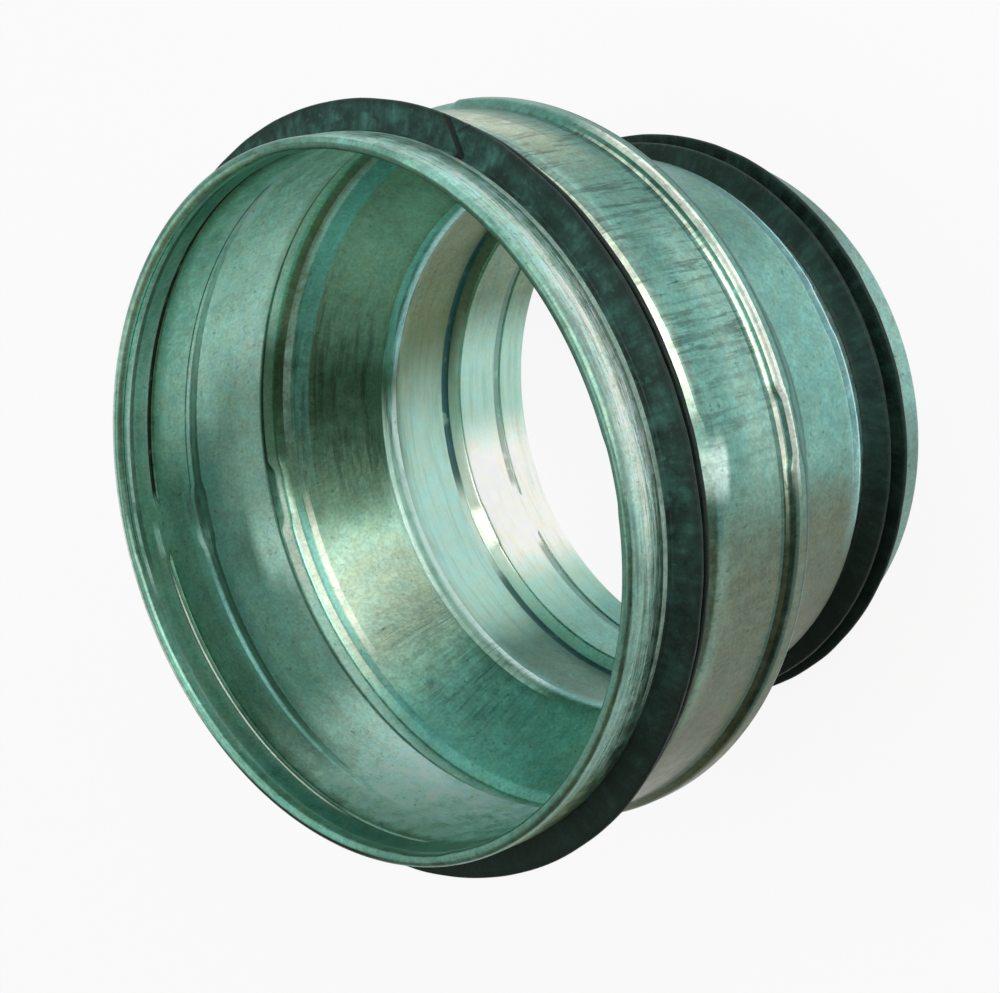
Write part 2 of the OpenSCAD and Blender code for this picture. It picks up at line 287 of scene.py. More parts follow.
# Most tones here are painted light and shade: bands lighter or darker round the axis by how light falls or is
# reflected, outside and inside, a painted brown reflection on the side, painted shade underneath, and painted
# highlights such as the bright nose, the bright shoulders and the light small spigot. The all-round tones and
# the dusty patch are the sheet's own colour.
ZINC_TONES_AND_LIGHT = (
    Patch("outside of the duct", OUTER, 0, 28, 0, 400, (0.125, 0.28, 0.24), 1.0),
    # Painted light on the side towards the window lamp, and painted shade and a painted brown reflection on
    # the far side and underneath
    Patch("clean side", OUTER, 10, 28, -172, 34, (0.17, 0.37, 0.33), 0.9),
    Patch("clean side by the bead", OUTER, 11.6, 12, -168, 30, (0.30, 0.52, 0.46), 0.9),
    Patch("dull underside", OUTER, 10, 28, 104, 82, (0.085, 0.125, 0.09), 0.85),
    Patch("brown side", OUTER, 10, 28, 143, 36, (0.13, 0.165, 0.12), 1.0),
    Patch("olive underside", OUTER, 10, 28, 112, 40, (0.075, 0.09, 0.045), 0.8),
    Patch("shoulder, aqua top", OUTER, 9.9, 11, -118, 40, (0.30, 0.58, 0.52), 0.9),
    Patch("shoulder, grey side", OUTER, 9.9, 10.9, 152, 24, (0.20, 0.33, 0.27), 0.9),
    Patch("dusty patch on the band", OUTER, 11.1, 11.6, -112, 26, (0.34, 0.43, 0.31), 0.6),
    Patch("small band, clean side", OUTER, 14.2, 17, -168, 34, (0.20, 0.42, 0.38), 0.9),
    Patch("bright small shoulder", OUTER, 17, 19, -168, 48, (0.62, 1.00, 1.00), 0.95),
    Patch("fold strip, clean side", LINING, 0.6, 1.95, -146, 72, (0.60, 0.96, 0.86), 1.0),
    Patch("fold strip, brightest", LINING, 0.6, 1.95, -168, 28, (0.76, 1.00, 0.91), 1.0),
    Patch("fold strip, dull side", LINING, 0.6, 1.95, 148, 34, (0.24, 0.42, 0.35), 0.9),
    Patch("fold strip, dusty foot", LINING, 0.6, 1.95, 105, 34, (0.18, 0.28, 0.12), 0.9),
    Patch("worn nose", LINING, 1.95, 3, 0, 400, (0.18, 0.32, 0.28), 0.9),
    Patch("bright nose", LINING, 1.95, 2.55, -4, 50, (0.78, 0.88, 0.82), 0.95),
    Patch("bright nose, upper side", LINING, 1.95, 2.5, -124, 30, (0.40, 0.68, 0.62), 0.9),
    Patch("dark nose", LINING, 1.95, 2.4, 62, 26, (0.02, 0.035, 0.025), 1.0),
    Patch("dark inside of the nose", LINING, 2.6, 4, -140, 34, (0.11, 0.20, 0.14), 0.9),
    Patch("light top of the mouth", LINING, 3, 12, -56, 40, (0.54, 0.84, 0.76), 0.8),
    Patch("light foot of the mouth", LINING, 9, 12, 72, 32, (0.72, 1.00, 0.98), 0.95),
    Patch("dull side of the mouth", LINING, 3.9, 9.95, 14, 44, (0.050, 0.135, 0.095), 0.95),
    Patch("dull ring round the groove", LINING, 4.3, 9.1, 0, 400, (0.11, 0.24, 0.18), 0.7),
    Patch("light top of the swell", LINING, 4.1, 5.9, -80, 32, (0.20, 0.44, 0.36), 0.9),
    Patch("teal foot of the swell", LINING, 4.1, 5.9, 64, 28, (0.12, 0.36, 0.32), 0.9),
    Patch("light strip inside the nose", LINING, 2.7, 3.9, 50, 44, (0.26, 0.50, 0.44), 0.9),
    Patch("dull shoulder", LINING, 10, 11, 18, 46, (0.09, 0.24, 0.19), 0.9),
    Patch("bright top of the shoulder", LINING, 9.9, 11, -76, 30, (0.80, 1.00, 1.00), 0.9),
    Patch("dull side of the band", LINING, 10.9, 11.5, 10, 40, (0.055, 0.15, 0.12), 0.92),
    Patch("dark patch on the band", LINING, 11.2, 12, 26, 18, (0.12, 0.26, 0.21), 0.9),
    Patch("far side of the band", LINING, 11.4, 12, -10, 20, (0.15, 0.27, 0.22), 0.85),
    Patch("bead channel, upper side", LINING, 12, 15, -52, 34, (0.30, 0.50, 0.39), 1.0),
    Patch("bead's near side, top", LINING, 12.15, 12.9, -48, 36, (0.52, 0.84, 0.70), 0.9),
    Patch("bead's near side, light", LINING, 12.15, 12.9, 15, 14, (0.55, 0.80, 0.72), 0.9),
    Patch("bead channel, dark side", LINING, 12.9, 15, -16, 20, (0.07, 0.14, 0.09), 1.0),
    Patch("bead's far side, top", LINING, 14.1, 15, -52, 30, (0.22, 0.60, 0.48), 0.9),
    Patch("bead channel, foot", LINING, 14, 15, 62, 28, (0.18, 0.42, 0.38), 0.9),
    Patch("cone, top", LINING, 15, 16, -58, 46, (0.26, 0.37, 0.30), 1.0),
    Patch("cone, dull side", LINING, 15, 16, -8, 27, (0.09, 0.165, 0.12), 0.97),
    Patch("cone, warm light", LINING, 15, 16, 25, 17, (0.30, 0.38, 0.32), 0.9),
    Patch("cone, aqua foot", LINING, 15, 16, 64, 28, (0.20, 0.48, 0.46), 0.9),
    Patch("small band, olive top", LINING, 16.1, 17, -52, 50, (0.13, 0.18, 0.105), 1.0),
    Patch("small band, light", LINING, 16.1, 17, 16, 22, (0.46, 0.72, 0.66), 0.95),
    Patch("small band, foot", LINING, 16.1, 17, 62, 28, (0.10, 0.20, 0.165), 1.0),
    Patch("small spigot, top", LINING, 17.1, 26, -54, 34, (0.16, 0.24, 0.17), 1.0),
    Patch("small spigot, foot", LINING, 17.1, 26, 66, 32, (0.18, 0.38, 0.33), 1.0),
    # Painted highlight: near white where the inside of the small spigot shows a bright reflection
    Patch("small spigot, light", LINING, 17.1, 26, 14, 24, (1.00, 1.00, 0.94), 1.0),
    Patch("small fold", LINING, 25.9, 28, 0, 400, (0.16, 0.27, 0.24), 1.0),
    Patch("small fold, clean side", LINING, 25.9, 28, -168, 26, (0.26, 0.46, 0.42), 1.0),
)

# Apart from the dust on the band's top, these lines are painted light and shade: painted highlights and
# reflections in the shine, light, bright, warm and teal lines and on the crimped edge, and painted shade in
# the dark lines and beds, the kink and the dark locking grooves.
ZINC_LINES = (
    Line("soot in the locking groove", LINING, 7.5, 0.6, -42, 38, 3, (0.01, 0.015, 0.01), 0.97, 0),
    Line("shine along the locking groove", LINING, 7.45, 0.30, 37, 30, 8, (0.95, 0.96, 0.88), 0.9, 0.7),
    Line("dark bed before the shine", LINING, 6.55, 0.35, 37, 32, 6, (0.02, 0.05, 0.04), 0.7, 0),
    Line("dark bed behind the shine", LINING, 8.5, 0.45, 37, 32, 6, (0.02, 0.05, 0.04), 0.8, 0),
    Line("shine at the flat", LINING, 6.3, 0.5, 2, 4, 3, (0.40, 0.62, 0.55), 0.5, 0.1),
    Line("light on the nose", LINING, 2.2, 0.25, 12, 26, 10, (0.95, 0.97, 0.90), 0.6, 0.3),
    Line("dark line inside the nose", LINING, 3.2, 0.10, -34, 44, 6, (0.03, 0.06, 0.05), 0.8, 0),
    Line("light line on the swell", LINING, 4.0, 0.22, -32, 46, 8, (0.42, 0.62, 0.54), 0.7, 0.2),
    Line("dark line after the swell", LINING, 5.05, 0.10, -34, 44, 6, (0.04, 0.08, 0.06), 0.7, 0),
    Line("dark foot of the shoulder", LINING, 9.955, 0.02, -37, 35, 3, (0.03, 0.08, 0.07), 0.8, 0),
    Line("kink of the shoulder", LINING, 10.1, 0.25, -2, 4, 3, (0.05, 0.10, 0.08), 0.6, 0),
    Line("shine at the shoulder's flat", LINING, 10.3, 0.3, 5, 4, 4, (0.50, 0.72, 0.66), 0.5, 0.1),
    Line("light foot of the shoulder", LINING, 10.0, 0.02, 34, 28, 14, (0.36, 0.74, 0.70), 0.55, 0.1),
    Line("dark near edge of the bead", LINING, 12.0, 0.004, -5, 76, 10, (0.06, 0.13, 0.10), 0.7, 0),
    Line("warm strip in the bead", LINING, 13.5, 0.40, 8, 12, 6, (0.68, 0.72, 0.62), 0.8, 0.3),
    Line("warm strip up the bead's side", LINING, 14.5, 0.35, 20, 22, 12, (0.74, 0.78, 0.68), 0.85, 0.3),
    Line("light far edge of the bead", LINING, 14.97, 0.05, -42, 38, 20, (0.55, 0.85, 0.84), 0.7, 0.25),
    Line("teal strip at the cone's start", LINING, 15.12, 0.08, -46, 48, 30, (0.19, 0.48, 0.47), 0.85, 0),
    Line("teal gap at the cone's start", LINING, 15.0, 0.02, 28, 30, 10, (0.12, 0.32, 0.30), 0.8, 0),
    Line("warm strip at the cone's start", LINING, 15.07, 0.03, 18, 20, 12, (0.66, 0.70, 0.62), 0.7, 0.2),
    Line("light end of the cone", LINING, 16.0, 0.03, 24, 46, 14, (0.75, 0.98, 0.95), 0.85, 0.4),
    Line("teal end of the cone", LINING, 16.0, 0.03, -48, 30, 10, (0.30, 0.62, 0.62), 0.7, 0.1),
    Line("dark edge of the small band", LINING, 16.97, 0.06, -24, 36, 8, (0.02, 0.09, 0.10), 0.9, 0),
    Line("dark lower edge of the small band", LINING, 16.97, 0.05, 50, 25, 8, (0.03, 0.10, 0.10), 0.8, 0),
    Line("small locking groove", LINING, 20.5, 0.45, -19, 31, 3, (0.08, 0.16, 0.14), 0.6, 0),
    Line("small locking groove, lower", LINING, 20.5, 0.45, 44, 19, 3, (0.08, 0.16, 0.15), 0.6, 0),
    Line("warm shoulder", OUTER, 10.68, 0.28, -149, 31, 15, (0.84, 0.84, 0.72), 0.8, 0.33),
    Line("dark head of the shoulder", OUTER, 11.0, 0.015, -150, 50, 12, (0.08, 0.20, 0.18), 0.6, 0),
    Line("bright spot on the shoulder's flat", OUTER, 10.7, 0.4, 177, 6, 5, (0.75, 0.98, 0.92), 0.8, 0.3),
    Line("dust on the band's top", OUTER, 11.35, 0.22, -112, 14, 10, (0.60, 0.66, 0.52), 0.55, 0.35),
    Line("dark near edge of the bead, outside", OUTER, 12.0, 0.02, 180, 85, 20, (0.04, 0.10, 0.09), 0.6, 0),
    Line("warm line up the bead", OUTER, 12.22, 0.17, -158, 40, 14, (0.84, 0.86, 0.74), 0.85, 0.35),
    Line("dark line on the bead", OUTER, 12.8, 0.22, 180, 60, 20, (0.03, 0.07, 0.06), 0.75, 0),
    Line("bright crest of the bead", OUTER, 13.2, 0.18, -155, 37, 12, (0.90, 0.95, 0.86), 0.95, 0.4),
    Line("dark line behind the bead", OUTER, 14.1, 0.16, -170, 70, 20, (0.05, 0.10, 0.09), 0.75, 0),
    Line("dark edge under the small seal", OUTER, 16.93, 0.05, -160, 60, 40, (0.05, 0.18, 0.20), 0.7, 0),
    Line("warm line along the fold", LINING, 1.45, 0.08, -160, 44, 24, (0.90, 0.92, 0.84), 0.55, 0.35),
    Line("crimped edge", LINING, 0.4, 0.35, -155, 74, 25, (0.62, 0.80, 0.77), 0.85, 0.55),
)

# The values are how strong the rolling lines and the wrinkles are, and how free of specks the sheet is. The
# wrinkles also darken the colour along their strokes, as painted shade in their creases.
ZINC_MARKS = (
    Patch("wrinkled band", OUTER, 11, 12, -142, 46, (0.0, 0.9, 0.0), 1.0),
    Patch("scratched band", OUTER, 11, 12, 150, 50, (0.0, 0.25, 0.0), 1.0),
    Patch("rolled cone", LINING, 15, 16, -22, 34, (0.9, 0.0, 0.0), 1.0),
    Patch("rolled mouth", LINING, 3, 12, 20, 90, (0.15, 0.0, 0.0), 1.0),
    Patch("rolled fold", LINING, 0, 2, 0, 400, (0.8, 0.0, 0.0), 1.0),
    Patch("rolled small band", LINING, 16, 26, 0, 90, (0.3, 0.0, 0.0), 1.0),
    Patch("wrinkled cone", LINING, 15.3, 16, 48, 26, (0.1, 0.6, 0.0), 1.0),
    Patch("smooth small spigot", LINING, 16, 28, 8, 60, (0.0, 0.0, 1.0), 1.0),
)


def over(patches, face, station):
    """The patches that lie on a ring of a face, and how strong each is at its station"""
    found = []
    for patch in patches:
        if patch.face == face:
            share = 1 - smooth_step(0, 0.2, max(patch.start - station, station - patch.end))
            if share > 0:
                found.append((patch, share * patch.strength))
    return found


def near(angle, bearing_at, reach):
    """1 at a bearing, and 0 past its reach to either side"""
    away = abs((angle - bearing_at + 180) % 360 - 180)
    return 1 - smooth_step(0.4 * reach, reach, away)


def paint_zinc(shell, stations, one_face):
    """Writes station, face, tone with painted light and shade, and marks of the zinc at each vertex"""
    mesh = shell.data
    if len(mesh.vertices) != 2 * one_face:
        raise RuntimeError("the wall has lost or gained vertices")
    steps = one_face // len(stations)
    kinds = {"tone": "FLOAT_COLOR", "marks": "FLOAT_COLOR", "station": "FLOAT", "lining": "FLOAT"}
    for name, kind in kinds.items():
        mesh.attributes.new(name, kind, "POINT")
    tones, marks, passed, lining = (mesh.attributes[name] for name in kinds)
    plain = bpy.context.scene.reducer_finish.zinc
    for face in (OUTER, LINING):
        for ring, station in enumerate(stations):
            tones_here = over(ZINC_TONES_AND_LIGHT, face, station)
            marks_here = over(ZINC_MARKS, face, station)
            for k in range(steps):
                at = ring * steps + k + (one_face if face == OUTER else 0)
                place = mesh.vertices[at].co
                angle = math.degrees(math.atan2(place.y, place.x))
                # Each tone patch is blended in; most of them are painted light and shade on the lit, shaded
                # and under sides
                colour = Vector(plain)
                for patch, share in tones_here:
                    colour += (Vector(patch.value) - colour) * share * near(angle, patch.bearing, patch.reach)
                mark = Vector((0, 0, 0))
                for patch, share in marks_here:
                    mark += Vector(patch.value) * share * near(angle, patch.bearing, patch.reach)
                tones.data[at].color = (*colour, 1)
                marks.data[at].color = (*mark, 1)
                passed.data[at].value = station
                lining.data[at].value = float(face == LINING)


class REDUCER_OT_shell(bpy.types.Operator):
    """Press the sheet: fold, groove, shoulder, band, bead, cone and the small spigot"""

    bl_idname = "reducer.shell"
    bl_label = "Sheet shell"
    bl_options = {"REGISTER", "UNDO"}

    def execute(self, context):
        sizes = context.scene.reducer_sheet
        lines = [rounded_line(shell_path(sizes, *which)) for which in ((0, 0), (1, 0), (0, 1))]
        stations, points = spaced(lines, RING_SPACING)
        steps = sizes.round_steps
        shell = rings_from("shell", [tuple(row[0]) for row in points], steps)
        verts = shell.data.vertices
        if len(verts) != steps * len(points):
            raise RuntimeError("the shell has lost or gained a ring")
        for k, (formed, large_flat, small_flat) in enumerate(points):
            for v in verts[k * steps : (k + 1) * steps]:
                angle = math.degrees(math.atan2(v.co.y, v.co.x))
                at_large = flat_share(angle, LARGE_TURN, 1.2)
                at_small = flat_share(angle, SMALL_TURN, 1.0)
                place = formed + (large_flat - formed) * at_large + (small_flat - formed) * at_small
                turn = math.radians(angle)
                v.co = (place.x * math.cos(turn), place.x * math.sin(turn), place.y)
        one_face = len(verts)
        bpy.ops.object.select_all(action="DESELECT")
        shell.select_set(True)
        context.view_layer.objects.active = shell
        wall = shell.modifiers.new("wall", "SOLIDIFY")
        wall.thickness = sizes.sheet
        wall.offset = 0
        wall.use_even_offset = True
        bpy.ops.object.modifier_apply(modifier=wall.name)
        paint_zinc(shell, stations, one_face)
        finish_piece(shell, "reducer_shell", zinc_material(context), math.radians(38))
        return {"FINISHED"}


def seal_path(sizes, seals, hem_r, lip_rise, tip_at):
    """Corners of a seal's section, from the foot in the fold round both lips and back"""
    wall = hem_r - sizes.hem_to_wall + sizes.sheet / 2 + 0.02 * MM
    under = hem_r - sizes.sheet / 2 - 0.05 * MM
    land = hem_r + sizes.sheet / 2
    edge = sizes.hem
    tip = land + lip_rise
    second = tip - seals.second_drop
    root = tip_at - 0.3 * MM
    pitch = 3.1 * MM
    lip = 0.45 * MM
    thick = 0.75 * MM
    foot = 2.2 * MM
    return [
        (wall, foot, 0, 0),
        (under, foot, 0.1 * MM, 2),
        (under, edge - 1.7 * MM, 0.1 * MM, 2),
        (under - 0.2 * MM, edge + 0.05 * MM, 0.02 * MM, 1),
        (land - 0.125 * MM, edge + 0.05 * MM, 0.12 * MM, 3),
        (land - 0.05 * MM, root - thick, 0.3 * MM, 4),
        (tip, tip_at - lip, 0.4 * MM, 5),
        (tip, tip_at + lip, 0.4 * MM, 5),
        (land - 0.5 * MM, root + thick, 0.5 * MM, 4),
        (land - 0.5 * MM, root + pitch - thick, 0.5 * MM, 4),
        (second, tip_at + pitch - lip, 0.4 * MM, 5),
        (second, tip_at + pitch + lip, 0.4 * MM, 5),
        (land - 1.0 * MM, edge + 6.1 * MM, 0.3 * MM, 3),
        (wall, edge + 6.6 * MM, 0.15 * MM, 2),
        (wall, foot, 0, 0),
    ]


def settle_dust(seal, land, tip_z, open_side):
    """Dust lies on the first lip's open face, most of it half way up, and thinly on the rest; far less lies
    round the underside, which is painted shade
    """
    dust = seal.data.attributes.new("dust", "FLOAT", "POINT")
    for v in seal.data.vertices:
        radius = math.hypot(v.co.x, v.co.y)
        angle = math.degrees(math.atan2(v.co.y, v.co.x))
        front = smooth_step(-0.9 * MM, 0.2 * MM, v.co.z - tip_z) if open_side else 0.25
        # Painted shade: much less dust round the underside, so the seal is darker there
        underside_shade = 1 - 0.8 * near(angle, 105, 85)
        rim = 1 - 0.6 * smooth_step(3.2 * MM, 4.8 * MM, radius - land)
        dust.data[v.index].value = (0.12 + 0.88 * front) * underside_shade * rim


def seal_ring(context, name, hem_r, lip_rise, tip_at, from_end, node, seed):
    """A seal turned round the axis, with soft lip edges that wander a little"""
    sizes, seals = context.scene.reducer_sheet, context.scene.reducer_seals
    path = seal_path(sizes, seals, hem_r, lip_rise, tip_at)
    path = [(r, from_end(s), cut, steps) for r, s, cut, steps in path]
    section = [tuple(row[0]) for row in spaced([rounded_line(path)], 1.2 * MM)[1]]
    steps = sizes.round_steps
    seal = rings_from(name, section, steps)
    bpy.ops.object.mode_set(mode="EDIT")
    bpy.ops.mesh.select_all(action="SELECT")
    bpy.ops.mesh.remove_doubles(threshold=0.01 * MM)
    bpy.ops.mesh.normals_make_consistent(inside=False)
    bpy.ops.object.mode_set(mode="OBJECT")
    land = hem_r + sizes.sheet / 2
    for v in seal.data.vertices:
        radius = math.hypot(v.co.x, v.co.y)
        share = smooth_step(0.2, 1.0, (radius - land) / lip_rise)
        around = Vector((v.co.x, v.co.y, 0)) / radius
        aside = Vector((0, 0, seed))
        wander = noise.noise(around * 5 + aside) + 0.5 * noise.noise(around * 14 + aside)
        v.co.z += seals.wave * share * wander * 2
        sink = seals.wave * share * (0.5 + 0.5 * noise.noise(around * 9 + Vector((seed, 0, 0)))) * 1.5
        v.co.x -= around.x * sink
        v.co.y -= around.y * sink
    settle_dust(seal, land, from_end(tip_at), node == "large_lip_seal")
    finish_piece(seal, node, rubber_material(context), math.radians(40))


class REDUCER_OT_lip_seals(bpy.types.Operator):
    """Mould the two lip seals, each with its foot in the fold"""

    bl_idname = "reducer.lip_seals"
    bl_label = "Lip seals"
    bl_options = {"REGISTER", "UNDO"}

    def execute(self, context):
        sizes, seals = context.scene.reducer_sheet, context.scene.reducer_seals
        top = sizes.overall
        large = (sizes.large_hem, seals.large_rise, 11 * MM, lambda s: top - s)
        small = (sizes.small_hem, seals.small_rise, 10.2 * MM, lambda s: s)
        seal_ring(context, "large_seal", *large, "large_lip_seal", 3)
        seal_ring(context, "small_seal", *small, "small_lip_seal", 8)
        return {"FINISHED"}


# Materials

# The large seal's butt joint, in degrees and metres: where it stands, its lean, and the lip it crosses
JOINT_BEARING, JOINT_SLANT = -119.5, 2.3
JOINT_ROOT, JOINT_HEIGHT = 64.5 * MM, 2.5 * MM


def fresh_material(name):
    """An empty material with its shader, and the tree that holds them"""
    made = bpy.data.materials.new(name)
    made.use_nodes = True
    tree = made.node_tree
    tree.nodes.clear()
    shader = tree.nodes.new("ShaderNodeBsdfPrincipled")
    output = tree.nodes.new("ShaderNodeOutputMaterial")
    tree.links.new(shader.outputs["BSDF"], output.inputs["Surface"])
    return made, tree, shader


class Graph:
    """Short calls for the nodes of a material"""

    def __init__(self, tree):
        self.tree = tree
        self.place = self.add("ShaderNodeTexCoord").outputs["Object"]

    def add(self, kind, **settings):
        node = self.tree.nodes.new(kind)
        for key, value in settings.items():
            setattr(node, key, value)
        return node

    def link(self, source, socket):
        if hasattr(source, "is_output"):
            self.tree.links.new(source, socket)
        else:
            socket.default_value = source

    def math(self, operation, first, second=0.0, third=0.0, clamp=False):
        node = self.add("ShaderNodeMath", operation=operation, use_clamp=clamp)
        for value, socket in zip((first, second, third), node.inputs):
            self.link(value, socket)
        return node.outputs[0]

    def spread(self, value, low, high, out_low, out_high):
        """Carries a value from one span to another, held at both ends"""
        node = self.add("ShaderNodeMapRange", interpolation_type="SMOOTHSTEP")
        for socket, number in zip(node.inputs[:5], (value, low, high, out_low, out_high)):
            self.link(number, socket)
        return node.outputs[0]

    def scaled(self, vector, by):
        node = self.add("ShaderNodeVectorMath", operation="MULTIPLY")
        self.link(vector, node.inputs[0])
        node.inputs[1].default_value = by
        return node.outputs[0]

    def grain(self, vector, scale, detail=3.0, roughness=0.6):
        """Soft cloudy noise from 0 to 1"""
        node = self.add("ShaderNodeTexNoise")
        self.link(vector, node.inputs["Vector"])
        node.inputs["Scale"].default_value = scale
        node.inputs["Detail"].default_value = detail
        node.inputs["Roughness"].default_value = roughness
        return node.outputs["Fac"]

    def mix(self, share, first, second, blend="MIX"):
        node = self.add("ShaderNodeMix", data_type="RGBA", blend_type=blend)
        self.link(share, node.inputs["Factor"])
        for colour, socket in ((first, node.inputs[6]), (second, node.inputs[7])):
            self.link(colour if hasattr(colour, "is_output") else (*colour, 1), socket)
        return node.outputs[2]

    def times(self, colour, factor):
        """A colour made lighter or darker by a number"""
        node = self.add("ShaderNodeVectorMath", operation="SCALE")
        self.link(colour, node.inputs[0])
        self.link(factor, node.inputs["Scale"])
        return node.outputs[0]

    def painted(self, name):
        """Red, green and blue of an attribute of the mesh"""
        split = self.add("ShaderNodeSeparateColor")
        self.link(self.add("ShaderNodeAttribute", attribute_name=name).outputs["Color"], split.inputs[0])
        return split.outputs

    def bump(self, height, distance, strength, under=None):
        node = self.add("ShaderNodeBump")
        self.link(height, node.inputs["Height"])
        node.inputs["Distance"].default_value = distance
        node.inputs["Strength"].default_value = strength
        if under is not None:
            self.link(under, node.inputs["Normal"])
        return node.outputs[0]

    def near(self, value, centre, half_width, soft, round_turn=False):
        """1 within a half width of a centre and 0 past a soft edge, on a line or round the axis in degrees"""
        away = self.math("SUBTRACT", value, centre)
        if round_turn:
            wrap = self.add("ShaderNodeMath", operation="WRAP")
            self.link(away, wrap.inputs[0])
            wrap.inputs[1].default_value, wrap.inputs[2].default_value = 180, -180
            away = wrap.outputs[0]
        return self.spread(self.math("ABSOLUTE", away), half_width, half_width + soft, 1, 0)

    def bearing(self):
        """Degrees round the axis, from +X towards +Y"""
        parts = self.add("ShaderNodeSeparateXYZ")
        self.link(self.place, parts.inputs[0])
        return self.math("DEGREES", self.math("ARCTAN2", parts.outputs[1], parts.outputs[0]))

    def round_about(self, per_turn, per_metre):
        """Coordinates that run round the axis and along it, without a seam"""
        flat = self.scaled(self.place, (1, 1, 0))
        unit = self.add("ShaderNodeVectorMath", operation="NORMALIZE")
        self.link(flat, unit.inputs[0])
        sum_up = self.add("ShaderNodeVectorMath", operation="ADD")
        self.link(self.scaled(unit.outputs[0], (per_turn, per_turn, 0)), sum_up.inputs[0])
        self.link(self.scaled(self.place, (0, 0, per_metre)), sum_up.inputs[1])
        return sum_up.outputs[0]


def zinc_lines(g, colour):
    """Lays the narrow lines of painted light and shade, and the dust, over a colour, and says how far each
    place turns matte
    """
    station = g.add("ShaderNodeAttribute", attribute_name="station").outputs["Fac"]
    lining = g.add("ShaderNodeAttribute", attribute_name="lining").outputs["Fac"]
    outer = g.math("SUBTRACT", 1, lining)
    around = g.bearing()
    # worn breaks each line up at random: the painted highlights and shade as well as the dust
    worn = g.spread(g.grain(g.place, 260, 3, 0.6), 0.30, 0.46, 0.55, 1.0)
    chalk = 0.0
    for line in ZINC_LINES:
        share = g.near(station, line.station, line.half_width, 0.25 * line.half_width)
        share = g.math("MULTIPLY", share, lining if line.face == LINING else outer)
        share = g.math("MULTIPLY", share, g.math("MULTIPLY", worn, line.strength))
        stretch = g.near(around, line.bearing, line.reach - line.soft, line.soft, round_turn=True)
        share = g.math("MULTIPLY", share, stretch)
        colour = g.mix(share, colour, line.colour)
        if line.chalk:
            chalk = g.math("MAXIMUM", chalk, g.math("MULTIPLY", share, line.chalk))
    return colour, chalk


def zinc_material(context):
    """Dull galvanised sheet: spangle, cloudy bloom, specks, rolling lines and wrinkles, with painted light
    and shade in its tones, its wrinkle strokes and its narrow lines, which are broken up at random
    """
    finish = context.scene.reducer_finish
    made, tree, shader = fresh_material("galvanised zinc")
    g = Graph(tree)
    # The tone attribute carries the zinc's own tones and the painted light and shade of the tone patches
    tone_and_light = g.add("ShaderNodeAttribute", attribute_name="tone").outputs["Color"]
    rolling, wrinkled, smooth = g.painted("marks")

    bloom = g.grain(g.place, 430, 3, 0.6)
    cloud = g.grain(g.place, 90, 3, 0.55)
    fine = g.grain(g.place, 1500, 2, 0.6)
    speck = g.grain(g.place, 900, 2, 0.5)
    rolled = g.grain(g.round_about(3.5, 900), 1, 3, 0.65)
    stroke = g.grain(g.round_about(60, 95), 1, 3, 0.7)
    stroke_patch = g.spread(g.grain(g.place, 105, 2, 0.5), 0.40, 0.58, 0.3, 1)
    spangle = g.add("ShaderNodeTexVoronoi", feature="F1")
    g.link(g.place, spangle.inputs["Vector"])
    spangle.inputs["Scale"].default_value = 640
    crystal = g.add("ShaderNodeSeparateColor")
    g.link(spangle.outputs["Color"], crystal.inputs[0])

    light = g.math("MULTIPLY", g.spread(bloom, 0.3, 0.7, 0.90, 1.10), g.spread(cloud, 0.3, 0.7, 0.90, 1.10))
    light = g.math("MULTIPLY", light, g.spread(crystal.outputs[0], 0, 1, 0.95, 1.05))
    light = g.math("MULTIPLY", light, g.spread(fine, 0.3, 0.7, 0.88, 1.12))
    light = g.math("MULTIPLY", light, g.spread(speck, 0.66, 0.72, 1.0, 0.68))
    light = g.math("MULTIPLY_ADD", g.math("SUBTRACT", 1, light), g.math("MULTIPLY", smooth, 0.85), light)
    line_dark = g.math("MULTIPLY", rolling, g.spread(rolled, 0.45, 0.70, 0.0, 0.5))
    wrinkled = g.math("MULTIPLY", wrinkled, stroke_patch)
    # Painted shade: the colour darkens along the wrinkle strokes, as shade in their creases; the strokes are
    # also bumped below
    wrinkle_shade = g.math("MULTIPLY", wrinkled, g.spread(stroke, 0.47, 0.61, 0.0, 0.58))
    light = g.math("MULTIPLY", light, g.math("SUBTRACT", 1.04, line_dark))
    light = g.math("MULTIPLY", light, g.math("SUBTRACT", 1.06, wrinkle_shade))
    warmth = g.spread(g.grain(g.place, 330, 3, 0.65), 0.36, 0.64, 0, 1)
    tint = g.mix(warmth, finish.zinc_cool, finish.zinc_warm)
    colour, chalk = zinc_lines(g, g.mix(1.0, tone_and_light, tint, "MULTIPLY"))
    g.link(g.times(colour, light), shader.inputs["Base Color"])
    # Marked lines lose the metal look and show their colour matte: this makes the painted highlights bright
    # and lets the dust show
    g.link(g.math("SUBTRACT", 1, chalk), shader.inputs["Metallic"])
    g.link(g.spread(bloom, 0.3, 0.7, 0.31, 0.41), shader.inputs["Roughness"])
    wavy = g.bump(g.grain(g.place, 45, 2, 0.5), 0.0006, 0.4)
    lines = g.math("ADD", g.math("MULTIPLY", rolled, rolling), g.math("MULTIPLY", stroke, wrinkled))
    ridged = g.bump(lines, 0.0003, 0.5, wavy)
    g.link(g.bump(fine, 0.00006, 0.4, ridged), shader.inputs["Normal"])
    return made


